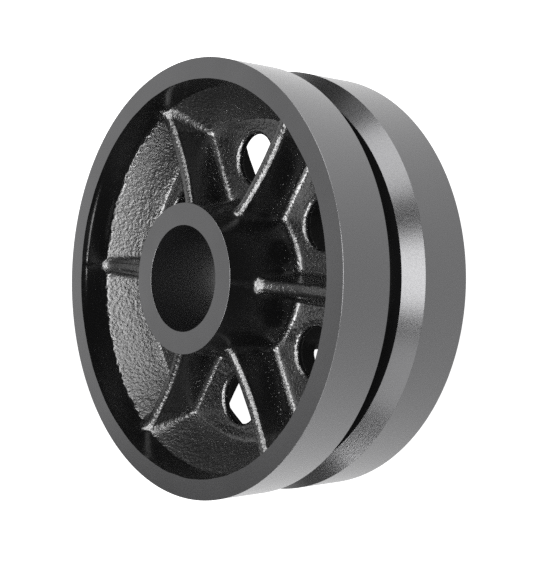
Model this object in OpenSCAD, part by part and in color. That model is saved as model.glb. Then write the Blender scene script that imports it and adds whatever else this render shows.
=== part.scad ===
// V-groove wheel: one iron casting, turned on its tread, its groove, its rim faces and its hub faces.
// The axis is Z and the origin is the centre of the wheel. Both sides are alike.

/* [Rim] */
// Diameter over the tread
tread_d = 203.2; // [190:0.1:230]
// Width of the tread
tread_w = 76.2; // [70:0.1:90]
// Wall of the rim at its open end
rim_wall = 9.525; // [7:0.005:12]
// Height above the mid-plane of the shoulder that carries the groove, and of the rib crests at their lowest
shoulder_h = 22.86; // [18:0.01:27]
// How far the shoulder slopes in from the rim to the web
shoulder_run = 12.7; // [9:0.1:16]

/* [Groove] */
// Width of the V at the tread
groove_w = 22.225; // [18:0.005:26]
// Angle between the flanks of the V
groove_angle = 90; // [80:1:100]
// Width of the relief slot at the bottom of the V
relief_w = 7.94; // [5:0.01:10]
// Depth of the relief slot below the tread
relief_depth = 12.7; // [11.5:0.1:14]

/* [Hub] */
// Diameter of the hub at its end faces
hub_d = 69.85; // [62:0.01:76]
// Length of the hub
hub_l = 82.55; // [78:0.01:100]
// Diameter of the bore
bore_d = 49.2125; // [20:0.0005:52]

/* [Web] */
// Thickness of the web
web_t = 6.35; // [4.5:0.005:10]
// Diameter of the holes through the web
hole_d = 23.8125; // [14:0.0005:25]
// Web left between a hole and the foot of the shoulder
hole_margin = 7.9; // [5:0.1:9.5]

/* [Ribs] */
// Ribs on each side, with a hole between each two
rib_count = 6; // [4:1:6]
// Thickness of a rib at its crest
rib_t = 6; // [5:0.01:9]
// Draft of the rib flanks in degrees
rib_draft = 6; // [2:0.5:8]
// Radius of the long hollow curve in which a rib crest dips between hub and rim
crest_sweep = 150; // [110:1:250]
// Distance from the axis at which a crest is lowest
crest_low_r = 70; // [66:0.1:76]
// Rounding of a crest's edges
crest_round = 2.4; // [1.5:0.1:2.6]
// Fillet in the upright corners at the ends of a rib
end_fillet = 4; // [3:0.1:5]

/* [Casting] */
// Fillet in the inside corners
cast_fillet = 3.2; // [2:0.1:4]
// Rounding of the holes' lips
cast_round = 1.6; // [0.8:0.1:2.2]
// Draft of the hub and of the inside of the rim in degrees
wall_draft = 3; // [1:0.5:4]
// Chamfer on the turned edges
edge_break = 0.8; // [0.3:0.1:1.5]

/* [Hidden] */
$fn = 128;
// How far a fillet's circle passes the two faces that it joins, so that it crosses them cleanly
bite = 0.08;
// How far a cutter passes the face that it starts from
pass = 1;

tread_r = tread_d / 2;
bore_r = bore_d / 2;
hub_r = hub_d / 2;
hole_r = hole_d / 2;
hub_top = hub_l / 2;
rim_top = tread_w / 2;
floor_z = web_t / 2;
rim_in_r = tread_r - rim_wall;
shoulder_r = rim_in_r - (rim_top - shoulder_h) * tan(wall_draft);
web_r = shoulder_r - shoulder_run;
shoulder_angle = atan2(shoulder_h - floor_z, shoulder_run);
hole_circle_r = web_r - hole_margin - hole_r;
rib_step = 360 / rib_count;
// A rib starts inside the wall of the hub and ends inside the rim
rib_start_r = (bore_r + hub_r) / 2;
rib_embed = rim_wall / 4;
// A rib is first made up to this height, which clears its crest, and then cut down to the crest
rib_top = shoulder_h + crest_rise(rib_start_r) + pass;

// Radius of the hub's drafted wall at a height above the mid-plane
function hub_wall_r(z) = hub_r + (hub_top - z) * tan(wall_draft);
// Radius of the shoulder's slope at a height above the mid-plane
function shoulder_wall_r(z) = web_r + (z - floor_z) / tan(shoulder_angle);
// How far a crest has risen above its lowest place at a distance from the axis
function crest_rise(r) = crest_sweep - sqrt(crest_sweep ^ 2 - (crest_low_r - r) ^ 2);
// How far round the crest's curve a distance from the axis lies from the lowest place, in degrees
function crest_turn(r) = asin((r - crest_low_r) / crest_sweep);
// Half the thickness of a rib at a height above the mid-plane
function rib_half_t(z) = rib_t / 2 + (shoulder_h - z) * tan(rib_draft);
// Where the flank of a rib along +X meets a round wall of radius r, at a height above the mid-plane
function flank_corner(r, z) = [sqrt(r ^ 2 - rib_half_t(z) ^ 2), rib_half_t(z), z];
function hub_corner(z) = flank_corner(hub_wall_r(z), z);
function rim_corner(z) = flank_corner(shoulder_wall_r(z), z);
// A closed outline from its upper half, given from the inside out
function both_halves(half) =
    concat([for (p = half) [p.x, -p.y]], [for (i = [len(half) - 1:-1:0]) half[i]]);

// What a fillet fills, or a rounding takes, in the corner at the origin between
// the ray along +X and the ray at the given angle from it
module corner_fill(angle, radius) {
    middle = [cos(angle / 2), sin(angle / 2)];
    centre = (radius - bite) / sin(angle / 2) * middle;
    reach = (radius - bite) / tan(angle / 2);
    difference() {
        polygon([[reach, 0], centre, reach * [cos(angle), sin(angle)], -radius / 2 * middle]);
        translate(centre) circle(r = radius);
    }
}

// A section's upper half, repeated below the mid-plane
module above_and_below() {
    for (below = [0, 1]) mirror([0, below, 0]) children();
}

// A section's right half, repeated on the left
module left_and_right() {
    for (left = [0, 1]) mirror([left, 0, 0]) children();
}

// Section of hub, web, shoulder and rim, with the radius along X and the axis along Y
module wheel_section() {
    polygon(both_halves([
        [bore_r, hub_top - edge_break],
        [bore_r + edge_break, hub_top],
        [hub_r - edge_break, hub_top],
        [hub_r, hub_top - edge_break],
        [hub_wall_r(floor_z), floor_z],
        [web_r, floor_z],
        [shoulder_r, shoulder_h],
        [rim_in_r, rim_top],
        [tread_r - edge_break, rim_top],
        [tread_r, rim_top - edge_break]
    ]));
    above_and_below() {
        translate([hub_wall_r(floor_z), floor_z]) corner_fill(90 + wall_draft, cast_fillet);
        translate([web_r, floor_z]) rotate(shoulder_angle) corner_fill(180 - shoulder_angle, cast_fillet);
    }
}

// Section of the V and of the relief slot below it
module groove_section() {
    flank = tan(groove_angle / 2);
    polygon([
        [tread_r + pass, groove_w / 2 + pass * flank],
        [tread_r - groove_w / 2 / flank, 0],
        [tread_r + pass, -groove_w / 2 - pass * flank]
    ]);
    translate([tread_r - relief_depth, -relief_w / 2]) square([relief_depth, relief_w]);
}

// Section of a hole with its two rounded lips, about the hole's own axis
module hole_section() {
    translate([0, -floor_z - pass]) square([hole_r, web_t + 2 * pass]);
    above_and_below() translate([hole_r, floor_z]) rotate(-90) corner_fill(90, cast_round);
}

// Section across a rib and the one behind it, with the fillets at the web
module rib_section() {
    foot = rib_half_t(floor_z);
    top = rib_half_t(rib_top);
    polygon(both_halves([[-foot, floor_z], [-top, rib_top], [top, rib_top], [foot, floor_z]]));
    left_and_right() above_and_below()
        translate([foot, floor_z]) corner_fill(90 + rib_draft, cast_fillet);
}

// The room that a rib takes from inside the hub's wall to inside the rim
module rib_side() {
    polygon(both_halves([
        [rib_start_r, rib_top],
        [shoulder_r + rib_embed, rib_top],
        [shoulder_r + rib_embed, shoulder_h],
        [web_r + rib_embed, floor_z]
    ]));
}

// What is cut away above a crest
module crest_cut() {
    width = 2 * (rib_half_t(0) + end_fillet + pass);
    translate([crest_low_r, 0, shoulder_h + crest_sweep]) rotate([90, 0, 0])
        cylinder(r = crest_sweep, h = width, center = true);
}

// What rounds one edge of a crest: its section follows the crest's curve within the rib's drafted flank
module crest_edge_cut() {
    from_turn = crest_turn(hub_wall_r(shoulder_h) + end_fillet);
    to_turn = crest_turn(shoulder_r - end_fillet);
    translate([crest_low_r, rib_t / 2, shoulder_h]) rotate([rib_draft, 0, 0])
        translate([0, 0, crest_sweep]) rotate([90, 0, 0]) rotate(270 + from_turn)
            rotate_extrude(angle = to_turn - from_turn)
                translate([crest_sweep, 0]) corner_fill(90 + rib_draft, crest_round);
}

// A fillet along the straight corner from one point to the next, between a rib's flank,
// which leaves the corner along the given way, and a wall at the given angle to it
module corner_bar(from, to, way, angle) {
    along = (to - from) / norm(to - from);
    flat_way = way - (way * along) * along;
    flank = flat_way / norm(flat_way);
    side = cross(along, flank);
    multmatrix([
        [flank.x, side.x, along.x, from.x],
        [flank.y, side.y, along.y, from.y],
        [flank.z, side.z, along.z, from.z]
    ]) linear_extrude(norm(to - from)) corner_fill(angle, end_fillet);
}

// The upright fillets where one flank of a rib meets the hub and the shoulder
module rib_end_fillets() {
    low = floor_z / 2;
    hub_lean = asin(rib_half_t(shoulder_h) / hub_wall_r(shoulder_h));
    rim_lean = asin(rib_half_t(shoulder_h) / shoulder_r);
    corner_bar(hub_corner(low), hub_corner(rib_top), [1, 0, 0], 90 + hub_lean);
    corner_bar(rim_corner(rib_top), rim_corner(low), [-1, 0, 0], 90 - rim_lean);
}

// A rib along +X and the one behind it
module rib() {
    difference() {
        intersection() {
            union() {
                rotate([90, 0, 90]) linear_extrude(tread_r) rib_section();
                for (left = [0, 1], below = [0, 1])
                    mirror([0, left, 0]) mirror([0, 0, below]) rib_end_fillets();
            }
            rotate_extrude() rib_side();
        }
        for (below = [0, 1]) mirror([0, 0, below]) {
            crest_cut();
            for (left = [0, 1]) mirror([0, left, 0]) crest_edge_cut();
        }
    }
}

module wheel() {
    color("#38393b")
    difference() {
        union() {
            rotate_extrude() difference() {
                wheel_section();
                groove_section();
            }
            for (i = [0:rib_count - 1]) rotate(i * rib_step) rib();
        }
        for (i = [0:rib_count - 1]) rotate((i + 0.5) * rib_step)
            translate([hole_circle_r, 0, 0]) rotate_extrude() hole_section();
    }
}

wheel();
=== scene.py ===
# V-groove wheel: its cast and turned surfaces, their finishes, and a plain studio round it
import bmesh
import bpy
import numpy as np
from mathutils import Matrix, Vector


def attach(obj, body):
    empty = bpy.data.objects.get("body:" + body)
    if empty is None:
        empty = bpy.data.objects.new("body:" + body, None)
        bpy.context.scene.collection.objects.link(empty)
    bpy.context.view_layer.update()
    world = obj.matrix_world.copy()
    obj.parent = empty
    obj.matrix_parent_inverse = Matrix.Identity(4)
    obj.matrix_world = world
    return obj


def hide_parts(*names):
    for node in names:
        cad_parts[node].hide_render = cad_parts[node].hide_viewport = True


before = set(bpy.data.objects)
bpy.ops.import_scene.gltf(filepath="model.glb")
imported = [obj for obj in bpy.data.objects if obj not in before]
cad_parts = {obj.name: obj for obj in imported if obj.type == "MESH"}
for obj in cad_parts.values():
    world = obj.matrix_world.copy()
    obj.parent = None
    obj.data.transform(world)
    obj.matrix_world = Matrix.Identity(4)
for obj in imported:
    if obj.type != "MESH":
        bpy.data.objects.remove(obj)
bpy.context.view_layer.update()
scene = bpy.context.scene
print("frame loaded:", sorted(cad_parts))

mm = 0.001

# Sizes in millimetres and degrees: the part's own, but for web, drafts, fillets, lips and edge breaks, which
# are fitted to the highlights. A pair says where a change starts and where it is full.
wheel = {
    "treadR": 101.6, "rimTop": 38.1, "rimInR": 92.075, "edgeBreak": 0.09, "hubBreak": 0.07,
    "crestZ": 22.86, "floorZ": 2.4, "slopeRun": 12.7, "wallDraft": 3.0,
    "grooveHalf": 11.1125, "reliefHalf": 3.97, "reliefDepth": 12.7,
    "hubR": 34.925, "hubTop": 41.275, "boreR": 24.60625, "hubDraft": 5.0,
    "holeR": 11.90625, "holeMargin": 8.17, "lip": 2.2,
    "ribCount": 6, "ribT": 5.8, "ribDraft": 8.5,
    "crestSweep": 150.0, "crestLowR": 70.0, "crestRound": 2.4, "hubSharper": 0.55,
    "endFillet": 4.0, "footFillet": 2.3, "slopeFillet": 1.8, "shoulderFillet": 0.6,
    "hubZone": (46.0, 38.0), "rimZone": (80.0, 86.0), "endRise": (6.0, 16.0),
    "stepZ": 35.3, "stepHigh": 0.6, "stepWide": 0.8, "stepAt": 172.0, "stepReach": 17.0,
    "stepFoot": (23.86, 26.86), "stepFromR": 88.0,
}
tiny = 1e-6
tanWall = np.tan(np.radians(wheel["wallDraft"]))
cosWall = np.cos(np.radians(wheel["wallDraft"]))
tanHub = np.tan(np.radians(wheel["hubDraft"]))
tanRib = np.tan(np.radians(wheel["ribDraft"]))
cosRib = np.cos(np.radians(wheel["ribDraft"]))
shoulderR = wheel["rimInR"] - (wheel["rimTop"] - wheel["crestZ"]) * tanWall
webR = shoulderR - wheel["slopeRun"]
slopeRise = (wheel["crestZ"] - wheel["floorZ"]) / wheel["slopeRun"]
cosSlope = slopeRise / np.hypot(slopeRise, 1.0)
holeCircleR = webR - wheel["holeMargin"] - wheel["holeR"]
halfStep = np.pi / wheel["ribCount"]


def hubWall(z):                                   # radius of the hub's drafted wall
    return wheel["hubR"] + (wheel["hubTop"] - z) * tanHub


def slopeWall(z):                                 # radius of the sloping shoulder
    return webR + (z - wheel["floorZ"]) / slopeRise


def bandWall(z):                                  # radius inside the rim
    return wheel["rimInR"] - (wheel["rimTop"] - z) * tanWall


def crestLine(u):                                 # height of a rib's crest, which dips between its ends
    sweep = wheel["crestSweep"]
    return wheel["crestZ"] + sweep - np.sqrt(sweep ** 2 - (u - wheel["crestLowR"]) ** 2)


def ribHalf(z):                                   # half the thickness of a rib
    return wheel["ribT"] / 2 + (wheel["crestZ"] - z) * tanRib


def roundJoin(a, b, radius):                      # distance to two bodies joined with a fillet
    near = np.hypot(np.maximum(radius - a, 0.0), np.maximum(radius - b, 0.0))
    return np.maximum(radius, np.minimum(a, b)) - near


def ease(value, nought, full):                    # 0 to 1 between two places, with a soft start and end
    t = np.clip((value - nought) / (full - nought), 0.0, 1.0)
    return t * t * (3.0 - 2.0 * t)


def castField(u, v, z):
    # Distance from the cast skin, above it positive: u runs along a rib, v across it, z up.
    # The skin is slope and rim band, then web floor, then hub, then rib, joined in turn by fillets.
    r = np.hypot(u, v)
    band = (bandWall(z) - r) * cosWall
    slope = (slopeWall(z) - r) * cosSlope
    skin = roundJoin(slope, band, wheel["shoulderFillet"])
    skin = roundJoin(skin, z - wheel["floorZ"], wheel["slopeFillet"])
    skin = roundJoin(skin, (r - hubWall(z)) * cosWall, wheel["footFillet"])
    atHub = ease(r, *wheel["hubZone"])
    edge = wheel["crestRound"] * (1.0 - wheel["hubSharper"] * atHub)
    flank = (np.abs(v) - ribHalf(z)) * cosRib
    crest = z - crestLine(u)
    rib = np.minimum(-edge, np.maximum(flank, crest))
    rib = rib + np.hypot(np.maximum(flank + edge, 0.0), np.maximum(crest + edge, 0.0))
    ends = (atHub + ease(r, *wheel["rimZone"])) * ease(z, *wheel["endRise"])
    join = wheel["footFillet"] + (wheel["endFillet"] - wheel["footFillet"]) * ends
    return roundJoin(skin, rib, join)


def castNormal(u, v, z):                          # gradient of the field, by central differences
    step = 0.01
    du = castField(u + step, v, z) - castField(u - step, v, z)
    dv = castField(u, v + step, z) - castField(u, v - step, z)
    dz = castField(u, v, z + step) - castField(u, v, z - step)
    return np.stack([du, dv, dz], axis=-1) / (2 * step)


# Columns round half a pocket: hub arc, corner, rib, corner, rim arc; each corner turns again higher up
pocket = {
    "hubArc": 11, "hubCorner": 10, "hubCornerFlat": 6, "rib": 26, "rimCorner": 10, "rimCornerUp": 4,
    "rimArc": 20, "crowding": 0.6, "leastCorner": 0.6,
    "holeRows": 3, "lipRows": 4, "floorRows": 9, "footRows": 6, "wallRows": 8, "topRows": 16,
    "hubTurn": 17.0, "hubLift": 3.0, "hubLiftShare": 0.08,
    "rimTurn": 6.0, "rimLift": 2.5, "rimLiftShare": 0.05,
    "settle": 12, "leastSlope": 0.2, "longestPull": 1.5,
    "bandZ": (21.3, 22.0, 22.6, 23.1, 23.7, 24.4, 25.3, 26.4,
              27.8, 30.5, 33.8, 34.7, 35.1, 35.5, 36.2, 38.1),
}


def share(count):                                 # evenly spaced shares of a stretch, without its end
    return np.arange(count) / count


def crowded(count):                               # the same, but closer together towards both ends
    t = share(count)
    return (1.0 - pocket["crowding"]) * t + pocket["crowding"] * (0.5 - 0.5 * np.cos(np.pi * t))


def halfOutline(z, inset):
    # Outline of half a pocket at each height z, pulled in by inset, as (u, v) for rows of columns:
    # round the hub, round the corner into the rib's flank, along it, round the next corner, along the rim
    z = z[:, None]
    inset = inset[:, None]
    hubR = hubWall(z) + inset
    flank = ribHalf(z) + inset
    rimR = slopeWall(z) - inset
    rho = np.maximum(wheel["endFillet"] - inset, pocket["leastCorner"])
    hubU = np.sqrt((hubR + rho) ** 2 - (flank + rho) ** 2)
    rimU = np.sqrt((rimR - rho) ** 2 - (flank + rho) ** 2)
    hubTurn = np.arctan2(flank + rho, hubU)
    rimTurn = np.arctan2(flank + rho, rimU)
    a = halfStep + (hubTurn - halfStep) * share(pocket["hubArc"])
    b = np.pi + hubTurn + (np.pi / 2 - hubTurn) * share(pocket["hubCorner"])
    c = hubU + (rimU - hubU) * crowded(pocket["rib"])
    d = -np.pi / 2 + (np.pi / 2 + rimTurn) * share(pocket["rimCorner"])
    e = rimTurn + (halfStep - rimTurn) * np.linspace(0.0, 1.0, pocket["rimArc"] + 1)
    u = [hubR * np.cos(a), hubU + rho * np.cos(b), c, rimU + rho * np.cos(d), rimR * np.cos(e)]
    v = [hubR * np.sin(a), flank + rho + rho * np.sin(b), flank + 0.0 * c,
         flank + rho + rho * np.sin(d), rimR * np.sin(e)]
    return np.concatenate(u, axis=1), np.concatenate(v, axis=1)


def upperEdge():
    # Where the cast skin ends above half a pocket: hub's rim, down the hub in the rib's plane, along the
    # crest, up the rim's band, and round the mouth of the rim. Also says which points stay put.
    flat, up = pocket["hubCornerFlat"], pocket["rimCornerUp"]
    hubR, rimR, crest = wheel["hubR"], wheel["rimInR"], wheel["crestZ"]
    hubEnd = wheel["hubTop"] - wheel["hubBreak"]
    hubTurn, rimTurn = np.radians(pocket["hubTurn"]), np.radians(pocket["rimTurn"])
    a = halfStep + (hubTurn - halfStep) * share(pocket["hubArc"])
    a = np.concatenate([a, hubTurn * (1.0 - share(flat))])
    along = crowded(pocket["rib"])
    alongU = hubWall(crest) + (bandWall(crest) - hubWall(crest)) * along
    nearHub = np.maximum(1.0 - along / pocket["hubLiftShare"], 0.0)
    nearRim = np.maximum(1.0 - (1.0 - along) / pocket["rimLiftShare"], 0.0)
    alongZ = crestLine(alongU) + pocket["hubLift"] * nearHub ** 2 + pocket["rimLift"] * nearRim ** 2
    hubFoot = crestLine(alongU[0]) + pocket["hubLift"]
    rimFoot = crestLine(bandWall(crest)) + pocket["rimLift"]
    downZ = hubEnd + (hubFoot - hubEnd) * share(pocket["hubCorner"] - flat)
    downU = np.where(downZ == hubEnd, hubR, hubWall(downZ))
    upZ = rimFoot + (wheel["rimTop"] - rimFoot) * share(up)
    e = rimTurn * share(pocket["rimCorner"] - up)
    e = np.concatenate([e, rimTurn + (halfStep - rimTurn) * np.linspace(0.0, 1.0, pocket["rimArc"] + 1)])
    u = np.concatenate([hubR * np.cos(a), downU, alongU, bandWall(upZ), rimR * np.cos(e)])
    v = np.concatenate([hubR * np.sin(a), 0 * downZ, 0 * along, 0 * upZ, rimR * np.sin(e)])
    z = np.concatenate([hubEnd + 0 * a, downZ, alongZ, upZ, wheel["rimTop"] + 0 * e])
    held = np.concatenate([np.full(len(a), True), downZ == hubEnd,
                           np.full(len(along) + len(upZ), False), np.full(len(e), True)])
    return u, v, z, held, np.append(a, 0.0), e


def halfPocket():
    # Rows from the middle of the hole's wall over its lip, across the floor, up the walls and to the
    # upper edge. All but the hole and the held edge then slide onto the cast skin along its gradient.
    floorZ, lip = wheel["floorZ"], wheel["lip"]
    foot = np.linspace(0.0, np.pi / 2, pocket["footRows"])
    footZ = floorZ + wheel["footFillet"] * (1.0 - np.cos(foot))
    footIn = wheel["footFillet"] * (1.0 - np.sin(foot))
    wallTop = wheel["crestZ"] - wheel["crestRound"]
    wallZ = np.linspace(footZ[-1], wallTop, pocket["wallRows"] + 1)[1:]
    levelZ = np.concatenate([footZ, wallZ])
    levelU, levelV = halfOutline(levelZ, np.concatenate([footIn, 0 * wallZ]))
    levelZ = levelZ[:, None] + 0 * levelU
    holeU, holeV = holeCircleR * np.cos(halfStep), holeCircleR * np.sin(halfStep)
    way = np.arctan2(levelV[0] - holeV, levelU[0] - holeU)
    lipTurn = np.linspace(0.0, np.pi / 2, pocket["lipRows"] + 1)
    lipR = np.concatenate([np.zeros(pocket["holeRows"]), lip * (1.0 - np.cos(lipTurn))])
    ringR = wheel["holeR"] + lipR
    ringZ = np.concatenate([np.linspace(0.0, floorZ - lip, pocket["holeRows"] + 1)[:-1],
                            floorZ - lip + lip * np.sin(lipTurn)])
    ringU = holeU + ringR[:, None] * np.cos(way)
    ringV = holeV + ringR[:, None] * np.sin(way)
    ringZ = ringZ[:, None] + 0 * ringU
    w = np.linspace(0.0, 1.0, pocket["floorRows"] + 1)[1:-1, None]
    floorU = ringU[-1] * (1 - w) + levelU[0] * w
    floorV = ringV[-1] * (1 - w) + levelV[0] * w
    edgeU, edgeV, edgeZ, held, hubAngles, rimAngles = upperEdge()
    w = np.linspace(0.0, 1.0, pocket["topRows"] + 1)[1:, None] + 0.0 * edgeU
    atMouth = held & (np.hypot(edgeU, edgeV) > shoulderR)
    bandRows = (np.array(pocket["bandZ"]) - wallTop) / (wheel["rimTop"] - wallTop)
    w[:, atMouth] = bandRows[:, None]             # crowded round the band's shoulder and its step
    topU = levelU[-1] * (1 - w) + edgeU * w
    topV = levelV[-1] * (1 - w) + edgeV * w
    topZ = levelZ[-1] * (1 - w) + edgeZ * w
    u = np.concatenate([ringU, floorU, levelU, topU])
    v = np.concatenate([ringV, floorV, levelV, topV])
    z = np.concatenate([ringZ, floorZ + 0 * floorU, levelZ, topZ])
    free = np.ones(u.shape)
    free[:len(ringU)] = 0.0
    free[-1, held] = 0.0
    middle = [0, u.shape[1] - 1]                  # the two columns in the pocket's plane of symmetry
    across = np.array([-np.sin(halfStep), np.cos(halfStep)])
    for _ in range(pocket["settle"]):
        slopeUvz = castNormal(u, v, z)
        pull = castField(u, v, z) / np.maximum((slopeUvz ** 2).sum(-1), pocket["leastSlope"]) * free
        pull = np.clip(pull, -pocket["longestPull"], pocket["longestPull"])
        u = u - pull * slopeUvz[..., 0]
        v = v - pull * slopeUvz[..., 1]
        z = z - pull * slopeUvz[..., 2]
        v[-1, np.abs(edgeV) < tiny] = 0.0
        off = u[:, middle] * across[0] + v[:, middle] * across[1]
        u[:, middle] -= off * across[0]
        v[:, middle] -= off * across[1]
    return u, v, z, free, hubAngles, rimAngles


# Waves of the cast skin in millimetres: the size of a wave, and how high it stands
castWave = {
    "seed": 7, "cells": 32, "coarse": 16.0, "coarseHigh": 0.16,
    "fine": 4.2, "fineHigh": 0.075, "fineShift": 40.0,
    "edge": 5.0, "edgeHigh": 0.16, "edgeRing": 60.0,
}
lattice = np.random.default_rng(castWave["seed"]).uniform(-1.0, 1.0, (castWave["cells"],) * 3)


def waviness(points, size):                       # smooth noise from a repeating lattice of heights
    q = points / size + castWave["cells"] / 2
    cell = np.floor(q).astype(int)
    t = q - cell
    t = t * t * (3.0 - 2.0 * t)
    total = np.zeros(points.shape[:-1])
    for corner in np.ndindex(2, 2, 2):
        i = (cell + np.array(corner)) % castWave["cells"]
        weight = np.prod(np.where(np.array(corner) == 1, t, 1.0 - t), axis=-1)
        total += weight * lattice[i[..., 0], i[..., 1], i[..., 2]]
    return total


def roughEdge(angles):                            # how far the cast wall strays at the turned rim face
    ring = np.stack([np.cos(angles), np.sin(angles), 0 * angles], axis=-1)
    return castWave["edgeHigh"] * waviness(ring * castWave["edgeRing"], castWave["edge"])


def mouthStep(points):
    # How far the band stands in below the cut that trued the rim's mouth, which touched one side only
    x, y, z = np.moveaxis(points, -1, 0)
    off = np.degrees(np.arctan2(y, x)) - wheel["stepAt"]
    off = (off + 180.0) % 360.0 - 180.0
    below = 0.5 - 0.5 * np.tanh((z - wheel["stepZ"]) / wheel["stepWide"] * 2.0)
    footZ, fullZ = wheel["stepFoot"]
    onBand = np.clip((z - footZ) / (fullZ - footZ), 0.0, 1.0) * (np.hypot(x, y) > wheel["stepFromR"])
    return wheel["stepHigh"] * np.exp(-(off / wheel["stepReach"]) ** 4) * below * onBand


def gridFaces(rows, columns, start, flip):        # quads of a grid that closes round its columns
    i = np.arange(rows - 1)[:, None] * columns + start
    j = np.arange(columns)[None, :]
    k = (j + 1) % columns
    quads = np.stack([i + j, i + k, i + columns + k, i + columns + j], axis=-1).reshape(-1, 4)
    return quads[:, ::-1] if flip else quads


def turned(x, y, z, angle):                       # points turned round the axis
    c, s = np.cos(angle), np.sin(angle)
    return np.stack([x * c - y * s, x * s + y * c, z], axis=-1)


def castSide():
    # All six pockets of the upper side: half a pocket, its mirror image, and both turned round the axis
    u, v, z, free, hubAngles, rimAngles = halfPocket()
    normal = castNormal(u, v, z)
    normal /= np.linalg.norm(normal, axis=-1, keepdims=True)
    nu, nv, nz = np.moveaxis(normal, -1, 0)
    points, normals = [], []
    for k in range(wheel["ribCount"]):
        near, far = 2 * halfStep * k, 2 * halfStep * (k + 1)
        first = turned(u, v, z, near), turned(nu, nv, nz, near)
        second = turned(u, -v, z, far), turned(nu, -nv, nz, far)
        points.append(np.concatenate([first[0], second[0][:, -2:0:-1]], axis=1))
        normals.append(np.concatenate([first[1], second[1][:, -2:0:-1]], axis=1))
    free = np.concatenate([free, free[:, -2:0:-1]], axis=1)
    return np.array(points), np.array(normals), free, hubAngles, rimAngles


def allRound(angles):                             # every angle round the wheel from those beside a rib
    angles = np.concatenate([angles, -angles])
    steps = 2 * halfStep * np.arange(wheel["ribCount"])
    every = (steps[:, None] + angles[None, :]).ravel() % (2 * np.pi)
    every = np.unique(np.round(every, 9))
    return every[every < 2 * np.pi - tiny]


def revolve(profile, angles):                     # a profile of (radius, height) carried round the axis
    r, z = profile[:, 0][:, None], profile[:, 1][:, None]
    return np.stack([r * np.cos(angles), r * np.sin(angles), z + 0 * angles], axis=-1)


def stretch(points, counts):                      # a polyline with each stretch cut into equal steps
    parts = [a + (b - a) * share(n)[:, None] for a, b, n in zip(points[:-1], points[1:], counts)]
    return np.concatenate(parts + [points[-1:]])


# Steps along each stretch of the turned profiles, and the stretch from which each is black instead of bare
turnedSteps = {"hub": [1, 2, 1, 3], "boreFrom": 3, "rim": [2, 1, 3, 2, 2, 1], "slotFrom": 4}
ironAt, paintAt, blackAt = 0, 1, 2                # places of the three finishes in the piece's list


def turnedProfiles():
    # Corners as (radius, height), down to the mid-plane: hub face and bore; rim face, tread, V and slot
    w, e, h = wheel, wheel["edgeBreak"], wheel["hubBreak"]
    flankIn = w["treadR"] - (w["grooveHalf"] - w["reliefHalf"])
    slot = w["treadR"] - w["reliefDepth"]
    hub = np.array([
        [w["hubR"], w["hubTop"] - h], [w["hubR"] - h, w["hubTop"]],
        [w["boreR"] + h, w["hubTop"]], [w["boreR"], w["hubTop"] - h], [w["boreR"], 0.0],
    ])
    rim = np.array([
        [w["rimInR"], w["rimTop"]], [w["treadR"] - e, w["rimTop"]], [w["treadR"], w["rimTop"] - e],
        [w["treadR"], w["grooveHalf"]], [flankIn, w["reliefHalf"]], [slot, w["reliefHalf"]], [slot, 0.0],
    ])
    return stretch(hub, turnedSteps["hub"]), stretch(rim, turnedSteps["rim"])


def rowFinish(counts, blackFrom):                 # bare iron up to a stretch of a profile, black from there
    return np.repeat(np.where(np.arange(len(counts)) < blackFrom, ironAt, blackAt), counts)[:, None]


weld = {"merge": 2e-6, "sharpAngle": 32.0}        # metres and degrees


def buildWheel():
    # The cast side moved along its normals by its waves, its mirror image below, and the turned profiles
    # carried round the axis, upper and lower; then the seams between them are merged
    points, normals, free, hubAngles, rimAngles = castSide()
    wave = castWave["coarseHigh"] * waviness(points, castWave["coarse"])
    wave = wave + castWave["fineHigh"] * waviness(points + castWave["fineShift"], castWave["fine"])
    points = points + normals * ((wave + mouthStep(points)) * free)[..., None]
    mouth = np.arctan2(points[:, -1, :, 1], points[:, -1, :, 0])
    atMouth = np.abs(points[:, -1, :, 2] - wheel["rimTop"]) < tiny
    stray = roughEdge(mouth) * atMouth / wheel["rimInR"]
    points[:, -1, :, :2] *= 1.0 + stray[..., None]
    vertices, faces, finishes, start = [], [], [], 0

    def lay(grid, flip, finish):
        nonlocal start
        vertices.append(grid.reshape(-1, 3))
        faces.append(gridFaces(grid.shape[0], grid.shape[1], start, flip))
        finishes.append(np.broadcast_to(finish, (grid.shape[0] - 1, grid.shape[1])).ravel())
        start += grid.shape[0] * grid.shape[1]

    upside = np.array([1.0, 1.0, -1.0])
    for grid in points:
        lay(grid, True, paintAt)
        lay(grid * upside, False, paintAt)
    hubProfile, rimProfile = turnedProfiles()
    hubGrid = revolve(hubProfile, allRound(hubAngles))
    rimGrid = revolve(rimProfile, allRound(rimAngles))
    rimTurns = np.arctan2(rimGrid[0, :, 1], rimGrid[0, :, 0])
    rimGrid[0, :, :2] *= (1.0 + roughEdge(rimTurns) / wheel["rimInR"])[:, None]
    hubFinish = rowFinish(turnedSteps["hub"], turnedSteps["boreFrom"])
    rimFinish = rowFinish(turnedSteps["rim"], turnedSteps["slotFrom"])
    for grid, finish, flip in ((hubGrid, hubFinish, True), (rimGrid, rimFinish, False)):
        lay(grid, flip, finish)
        lay(grid * upside, not flip, finish)
    vertices = np.concatenate(vertices) * mm
    faces = np.concatenate(faces)
    mesh = bpy.data.meshes.new("vGrooveWheel")
    mesh.from_pydata(vertices.tolist(), [], faces.tolist())
    mesh.polygons.foreach_set("material_index", np.concatenate(finishes).astype(np.int32))
    shell = bmesh.new()
    shell.from_mesh(mesh)
    bmesh.ops.remove_doubles(shell, verts=shell.verts, dist=weld["merge"])
    bmesh.ops.recalc_face_normals(shell, faces=shell.faces)
    shell.to_mesh(mesh)
    shell.free()
    mesh.shade_smooth()
    mesh.set_sharp_from_angle(angle=np.radians(weld["sharpAngle"]))
    piece = bpy.data.objects.new("vGrooveWheel", mesh)
    scene.collection.objects.link(piece)
    return piece


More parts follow.
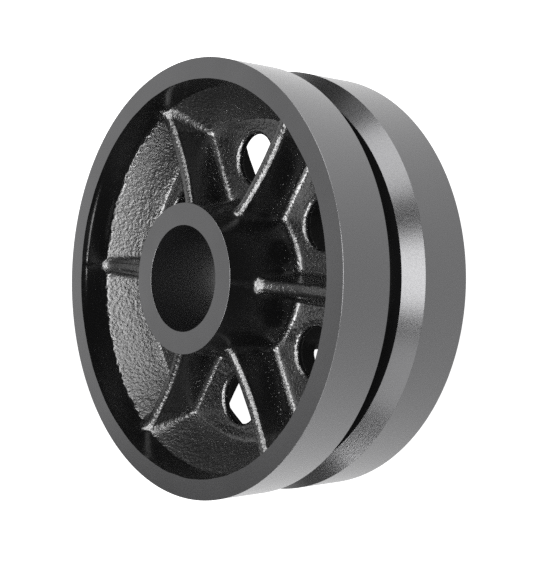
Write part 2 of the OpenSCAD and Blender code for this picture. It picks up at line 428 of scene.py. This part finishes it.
def plug(tree, slot, value):                      # a link if the value is a wire, else the value itself
    if isinstance(value, Wire):
        tree.links.new(value.socket, slot)
    else:
        slot.default_value = value


class Wire:
    # A node's output that can be written in sums: each operator adds one Math node
    def __init__(self, tree, socket):
        self.tree = tree
        self.socket = socket

    def maths(self, operation, first, second=0.0):
        node = self.tree.nodes.new("ShaderNodeMath")
        node.operation = operation
        for slot, value in zip(node.inputs, (first, second)):
            plug(self.tree, slot, value)
        return Wire(self.tree, node.outputs[0])

    def __add__(self, other):
        return self.maths("ADD", self, other)

    def __radd__(self, other):
        return self.maths("ADD", other, self)

    def __sub__(self, other):
        return self.maths("SUBTRACT", self, other)

    def __rsub__(self, other):
        return self.maths("SUBTRACT", other, self)

    def __mul__(self, other):
        return self.maths("MULTIPLY", self, other)

    def __rmul__(self, other):
        return self.maths("MULTIPLY", other, self)

    def __pow__(self, other):
        return self.maths("POWER", self, other)

    def __abs__(self):
        return self.maths("ABSOLUTE", self)


class Finish:
    # One material and its nodes
    def __init__(self, name):
        self.material = bpy.data.materials.new(name)
        self.material.use_nodes = True
        self.tree = self.material.node_tree
        self.tree.nodes.clear()
        self.shader = self.tree.nodes.new("ShaderNodeBsdfPrincipled")
        end = self.tree.nodes.new("ShaderNodeOutputMaterial")
        self.tree.links.new(self.shader.outputs[0], end.inputs["Surface"])

    def add(self, kind, settings=None, sockets=None, output=0):
        # Adds a node of the kind, makes its settings, then fills its sockets with values or links
        node = self.tree.nodes.new("ShaderNode" + kind)
        for key, value in (settings or {}).items():
            if key == "stops":
                ramp = node.color_ramp
                while len(ramp.elements) < len(value):
                    ramp.elements.new(0.5)
                for element, (place, grey) in zip(ramp.elements, value):
                    element.position = place
                    element.color = (grey, grey, grey, 1.0)
            else:
                setattr(node, key, value)
        for key, value in (sockets or {}).items():
            plug(self.tree, node.inputs[key], value)
        return Wire(self.tree, node.outputs[output])

    def set(self, **sockets):                     # values or links for the shader's own sockets
        for key, value in sockets.items():
            plug(self.tree, self.shader.inputs[key.replace("_", " ")], value)

    def noise(self, where, scale, detail=1.0, roughness=0.5):
        return self.add("TexNoise", None, {
            "Vector": where, "Scale": scale, "Detail": detail, "Roughness": roughness})

    def ramp(self, value, stops):
        return self.add("ValToRGB", {"stops": stops}, {"Fac": value})

    def blend(self, share, first, second):        # one colour into another, by the Mix node's colour sockets
        return self.add("Mix", {"data_type": "RGBA"}, {0: share, 6: first, 7: second}, 2)

    def fade(self, value, nought, full):          # 0 to 1 as a value goes from one place to another
        low, high = min(nought, full), max(nought, full)
        ends = (0.0, 1.0) if nought < full else (1.0, 0.0)
        return self.add("MapRange", {"interpolation_type": "SMOOTHSTEP"}, {
            "Value": value, "From Min": low, "From Max": high, "To Min": ends[0], "To Max": ends[1]})


# The finishes' lengths are in metres. A pair says where a look starts to show and where it is full.
castBlack = {
    "paint": (0.0008, 0.0008, 0.00084, 1.0), "wash": (0.0008, 0.0008, 0.00083, 1.0), "ior": 1.5,
    "gloss": 0.19, "grainRough": 0.06, "sandRough": 0.18, "crestRough": 0.1, "webRough": 0.02,
    "grain": 1500.0, "pits": 700.0, "lumps": 300.0, "nibs": 900.0, "depth": 0.00085,
    "grainHigh": 0.14, "pitHigh": 0.6, "lumpHigh": 0.35, "nibHigh": 0.35,
    "calm": 0.1, "floor": 0.42, "crest": 0.7, "ragged": 0.004,
    "slopeR": (0.0775, 0.0805), "slopeTop": (0.0235, 0.0215),
    "crestDeep": (0.0024, 0.0012), "crestInR": (0.0365, 0.0385), "crestOutR": (0.0905, 0.0895),
    "webTop": (0.0055, 0.0035), "webInR": (0.036, 0.039), "webOutR": (0.082, 0.079),
    "nibShare": (0.64, 0.74), "nibTop": (0.016, 0.005),
}


def polar(finish, where):                         # distance from the axis, height, and angle round it
    x, y, z = (finish.add("SeparateXYZ", None, {"Vector": where}, output) for output in range(3))
    return (x * x + y * y) ** 0.5, z, x.maths("ARCTAN2", y, x)


def paintFinish():
    # Gloss black paint over a sand-cast skin. The grain is deep on the slope, less so on crests and web,
    # and nearly gone on flanks and hub.
    p = castBlack
    coat = Finish("blackCastPaint")
    where = coat.add("TexCoord", output="Object")
    radius, z = polar(coat, where)[:2]
    level = abs(z)
    grain = coat.noise(where, p["grain"], detail=2.0, roughness=0.55)
    pits = coat.noise(where, p["pits"], detail=1.5)
    lumps = coat.noise(where, p["lumps"])
    ragged = level + p["ragged"] * (lumps - 0.5)
    sand = coat.fade(radius, *p["slopeR"]) * coat.fade(ragged, *p["slopeTop"])
    dip = radius - wheel["crestLowR"] * mm
    below = wheel["crestZ"] * mm + dip * dip * (0.5 / (wheel["crestSweep"] * mm)) - level
    crest = coat.fade(radius, *p["crestInR"]) * coat.fade(radius, *p["crestOutR"])
    crest = crest * coat.fade(below, *p["crestDeep"])
    web = coat.fade(radius, *p["webInR"]) * coat.fade(radius, *p["webOutR"])
    web = web * coat.fade(level, *p["webTop"])
    rough = p["calm"] + (1.0 - p["calm"]) * sand + p["crest"] * crest + p["floor"] * web
    nibs = coat.fade(coat.noise(where, p["nibs"]), *p["nibShare"]) * coat.fade(level, *p["nibTop"])
    height = p["grainHigh"] * grain + p["pitHigh"] * pits + p["lumpHigh"] * lumps
    height = height * rough + p["nibHigh"] * nibs
    normal = coat.add("Bump", None, {"Strength": 1.0, "Distance": p["depth"], "Height": height})
    tone = coat.blend(sand + crest, p["paint"], p["wash"])
    gloss = p["gloss"] + p["grainRough"] * grain + p["sandRough"] * sand
    gloss = gloss + p["crestRough"] * crest + p["webRough"] * web
    coat.set(Base_Color=tone, Roughness=gloss, Normal=normal, IOR=p["ior"])
    return coat.material


smoothBlack = {"tone": (0.0022, 0.0022, 0.0023, 1.0), "rough": 0.22, "ior": 1.22}


def smoothFinish():                               # the bore and the relief slot: smooth and dark
    dark = Finish("smoothBlack")
    dark.set(Base_Color=smoothBlack["tone"], Roughness=smoothBlack["rough"], IOR=smoothBlack["ior"])
    return dark.material


turnedGrey = {
    "iron": (0.052, 0.052, 0.0532, 1.0), "dull": (0.0437, 0.0437, 0.0446, 1.0),
    # The tread's lighter tone below is painted light, and the V groove's darker tone is painted shade that
    # dims its highlights.
    "grooveShade": (0.0305, 0.0305, 0.0312, 1.0), "tread": (0.082, 0.082, 0.0838, 1.0), "metal": 0.9,
    "rough": 0.4, "speckRough": 0.14, "faceRough": -0.08, "grooveRough": -0.14,
    "feed": 2600.0, "feedTurn": 0.004, "feedHigh": 0.6, "speck": 1500.0, "speckHigh": 0.5,
    "bump": 0.12, "depth": 0.0002, "bloom": 26.0, "bloomStops": [(0.3, 0.0), (0.75, 1.0)],
    "grooveTop": (0.01125, 0.01113), "treadR": (0.10135, 0.1015), "treadTop": (0.03805, 0.0379),
    "faceFoot": (0.0378, 0.03805),
}


def ironFinish():
    # Turned grey iron: feed marks round the axis, fine specks of graphite, a dull bloom in patches
    # The tread's lighter tone is painted light; the V groove's darker tone is painted shade that dims its
    # highlights.
    p = turnedGrey
    bare = Finish("turnedIron")
    where = bare.add("TexCoord", output="Object")
    radius, z, angle = polar(bare, where)
    level = abs(z)
    lathe = bare.add("CombineXYZ", None, {"X": radius, "Y": z, "Z": angle * p["feedTurn"]})
    feed = bare.noise(lathe, p["feed"])
    speck = bare.noise(where, p["speck"])
    bloom = bare.noise(where, p["bloom"], detail=3.0, roughness=0.55)
    inGroove = bare.fade(level, *p["grooveTop"])
    litTread = bare.fade(radius, *p["treadR"]) * bare.fade(level, *p["treadTop"])
    onFace = bare.fade(level, *p["faceFoot"])
    tone = bare.blend(bare.ramp(bloom, p["bloomStops"]), p["dull"], p["iron"])
    # Painted light: a lighter tone on the tread.
    tone = bare.blend(litTread, tone, p["tread"])
    # Painted shade: a darker tone in the V groove, which dims its highlights.
    tone = bare.blend(inGroove, tone, p["grooveShade"])
    height = p["feedHigh"] * feed + p["speckHigh"] * speck
    normal = bare.add("Bump", None, {"Strength": p["bump"], "Distance": p["depth"], "Height": height})
    rough = p["rough"] + p["speckRough"] * (speck - 0.5)
    rough = rough + p["grooveRough"] * inGroove + p["faceRough"] * onFace
    bare.set(Base_Color=tone, Roughness=rough, Normal=normal, Metallic=p["metal"])
    return bare.material


piece = buildWheel()
piece.data.materials.append(ironFinish())
piece.data.materials.append(paintFinish())
piece.data.materials.append(smoothFinish())
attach(piece, "root")
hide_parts("wheel")
piece.data.calc_loop_triangles()
print("wheel:", len(piece.data.vertices), "vertices,", len(piece.data.loop_triangles), "triangles")

# Camera: degrees off the wheel's axis, lean and the wheel's turn, millimetres of distance and lens,
# and pixels from the picture's middle to the wheel's centre
shot = {"offAxis": 48.843, "lean": -0.636, "turn": 4.9, "distance": 540.73, "lens": 70.286,
        "across": -16.285, "down": -5.768, "imageHigh": 571.0, "sensor": 36.0}


def placeCamera():
    # The wheel's axes as the camera sees them, x right, y down, z away, turned to give the camera's own
    side, lean = np.radians(shot["offAxis"]), np.radians(shot["lean"])
    axis = np.array([-np.sin(side) * np.cos(lean), np.sin(lean), -np.cos(side) * np.cos(lean)])
    left = np.cross([0.0, 1.0, 0.0], axis)
    left /= np.linalg.norm(left)
    seen = np.stack([-left, -np.cross(axis, left), axis], axis=1)
    pixels = shot["lens"] / shot["sensor"] * shot["imageHigh"]
    centre = shot["distance"] * np.array([shot["across"] / pixels, shot["down"] / pixels, 1.0])
    t = np.radians(shot["turn"])
    spin = np.array([[np.cos(t), -np.sin(t), 0.0], [np.sin(t), np.cos(t), 0.0], [0.0, 0.0, 1.0]])
    place = spin @ (-seen.T @ centre) * mm
    right, down, ahead = (spin @ seen.T @ way for way in np.eye(3))
    camera = bpy.data.objects.new("camera", bpy.data.cameras.new("camera"))
    camera.data.lens = shot["lens"]
    camera.data.sensor_width = shot["sensor"]
    camera.data.clip_start = 0.01
    turn = Matrix(np.stack([right, -down, -ahead], axis=1).tolist())
    camera.matrix_world = Matrix.Translation(Vector(place)) @ turn.to_4x4()
    scene.collection.objects.link(camera)
    scene.camera = camera
    return right, -down, ahead


toRight, toTop, ahead = placeCamera()

# Soft boxes round the wheel: the way to each as the camera sees it, right, up and nearer,
# then metres off, width, height and watts
lights = {
    "frontBox": ((0.0, 0.05, 1.0), 1.0, 0.53, 0.53, 21.0),
    "sideBox": ((-0.62, 0.0, 0.78), 1.0, 0.55, 1.1, 37.0),
    "topBox": ((-0.12, 0.78, 0.62), 1.0, 0.58, 0.58, 16.5),
    "lowPanel": ((-0.05, -0.62, 0.78), 1.0, 0.6, 0.6, 8.0),
    "cornerBox": ((-0.5, -0.5, 0.7), 1.0, 0.35, 0.35, 11.0),
    "underPanel": ((0.1, -0.98, 0.15), 1.0, 0.5, 0.5, 31.0),
    "overPanel": ((0.12, 0.98, 0.15), 1.0, 0.55, 0.55, 3.2),
    "leftPanel": ((-0.88, 0.3, -0.42), 1.1, 1.2, 1.2, 8.6),
}


def softBox(name, way, distance, wide, high, power):
    lamp = bpy.data.lights.new(name, "AREA")
    lamp.shape = "RECTANGLE"
    lamp.size, lamp.size_y = wide, high
    lamp.energy = power
    box = bpy.data.objects.new(name, lamp)
    out = Vector(toRight * way[0] + toTop * way[1] - ahead * way[2]).normalized()
    across = Vector(toTop).cross(out).normalized()
    turn = Matrix((across, out.cross(across), out)).transposed()
    box.matrix_world = Matrix.Translation(out * distance) @ turn.to_4x4()
    box.visible_camera = False
    scene.collection.objects.link(box)


for name, values in lights.items():
    softBox(name, *values)

# Pale floor that glows a little, as a light table does; what the wheel reflects of it is dark under the web
floorPlate = {
    "half": 4.0, "tone": (0.02, 0.02, 0.02, 1.0), "rough": 0.9,
    "glow": 1.0, "lift": 38.0, "shift": 0.026, "most": 2.1, "shade": 0.04,
    "boreGlow": 20.0, "boreR": (0.0246, 0.024),
    "ringGlow": 1.06, "ringR": (0.092, 0.1), "ringLoss": 0.2, "ringFar": (0.115, 0.185),
}


def layFloor():
    p = floorPlate
    h, z = p["half"], -wheel["hubTop"] * mm
    mesh = bpy.data.meshes.new("floor")
    mesh.from_pydata([(-h, -h, z), (h, -h, z), (h, h, z), (-h, h, z)], [], [(0, 1, 2, 3)])
    floor = bpy.data.objects.new("floor", mesh)
    scene.collection.objects.link(floor)
    pale = Finish("paleFloor")
    where = pale.add("TexCoord", output="Object")
    up = pale.add("VectorMath", {"operation": "DOT_PRODUCT"}, {0: where, 1: Vector(toTop)}, "Value")
    up = up + p["shift"]
    glow = p["glow"] + p["lift"] * up * up
    glow = glow.maths("MINIMUM", glow, p["most"])
    radius = polar(pale, where)[0]
    ring = p["ringGlow"] - p["ringLoss"] * pale.fade(radius, *p["ringFar"])
    ring = ring * pale.fade(radius, *p["ringR"])
    lit = p["boreGlow"] * pale.fade(radius, *p["boreR"]) + ring
    direct = pale.add("LightPath", output="Is Camera Ray")
    lit = direct.maths("MAXIMUM", direct, lit)
    glow = glow * (p["shade"] + (1.0 - p["shade"]) * lit)
    pale.set(Base_Color=p["tone"], Roughness=p["rough"], Emission_Color=glow, Emission_Strength=1.0)
    mesh.materials.append(pale.material)


studio = {"white": (1.0, 1.0, 1.0, 1.0), "fill": 0.03}


def lightWorld():                                 # white behind the wheel, but lighting it only faintly
    world = bpy.data.worlds.new("studio")
    world.use_nodes = True
    tree = world.node_tree
    sky = tree.nodes["Background"]
    sky.inputs["Color"].default_value = studio["white"]
    direct = Wire(tree, tree.nodes.new("ShaderNodeLightPath").outputs["Is Camera Ray"])
    strength = direct.maths("MAXIMUM", direct, studio["fill"])
    plug(tree, sky.inputs["Strength"], strength)
    scene.world = world


layFloor()
lightWorld()
scene.view_settings.view_transform = "Standard"
scene.cycles.use_denoising = False
print("camera, lights and floor placed")
